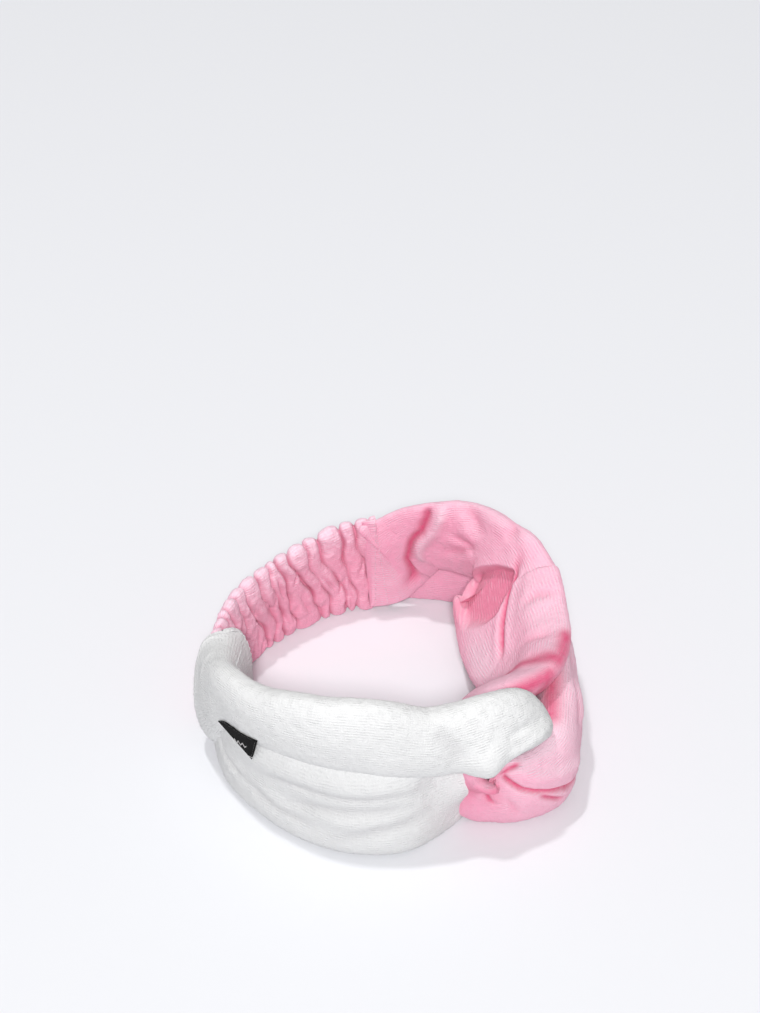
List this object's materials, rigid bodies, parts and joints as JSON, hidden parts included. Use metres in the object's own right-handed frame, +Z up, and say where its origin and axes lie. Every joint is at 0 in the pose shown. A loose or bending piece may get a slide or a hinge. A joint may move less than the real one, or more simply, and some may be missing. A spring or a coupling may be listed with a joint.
{
  "type": "spa headband",
  "caption": "Twist-knot towelling headband: two soft bands of different colour looped through each other in front and joined behind the head by a ruched elastic casing.",
  "frame": {"origin": "centre of the bounding box in plan, on the flat surface the band stands on", "axes": "+Z up along the axis of the head opening, -Y towards the knot worn over the forehead, +X the pink half, -X the white half with the label, +Y the gathered casing behind the head"},
  "size_m": [0.1771, 0.1707, 0.0781],
  "materials": {
    "white_towelling": "soft velour towelling, white",
    "pink_towelling": "soft velour towelling, pale rose pink",
    "casing_towelling": "gathered velour towelling, rose pink, deeper in the gathers",
    "elastic": "woven elastic webbing, off-white",
    "label": "woven black label with a plain geometric border",
    "white_thread": "polyester sewing thread, white",
    "pink_thread": "polyester sewing thread, rose pink",
    "label_thread": "polyester sewing thread, black"
  },
  "bodies": {
    "pink_side": {"pink_band": "pink_towelling", "pink_band_seam": "pink_thread", "elastic_casing": "casing_towelling", "elastic_strip": "elastic", "casing_seam": "pink_thread", "pink_joint_seam": "pink_thread", "pink_end_bartack": "pink_thread"},
    "white_side": {"white_band": "white_towelling", "white_band_seam": "white_thread", "white_joint_seam": "white_thread", "white_end_bartack": "white_thread", "woven_label": "label", "label_stitching": "label_thread"}
  },
  "joints": [
    {"name": "ring_stretch", "type": "hinge", "parent": "pink_side", "child": "white_side", "pos_m": [-0.0005, -0.0602, 0.033], "axis": [0, 0, 1], "range_deg": [0, 25], "deforming": ["elastic_casing", "elastic_strip", "casing_seam", "white_band", "pink_band", "white_band_seam", "pink_band_seam"]}
  ]
}
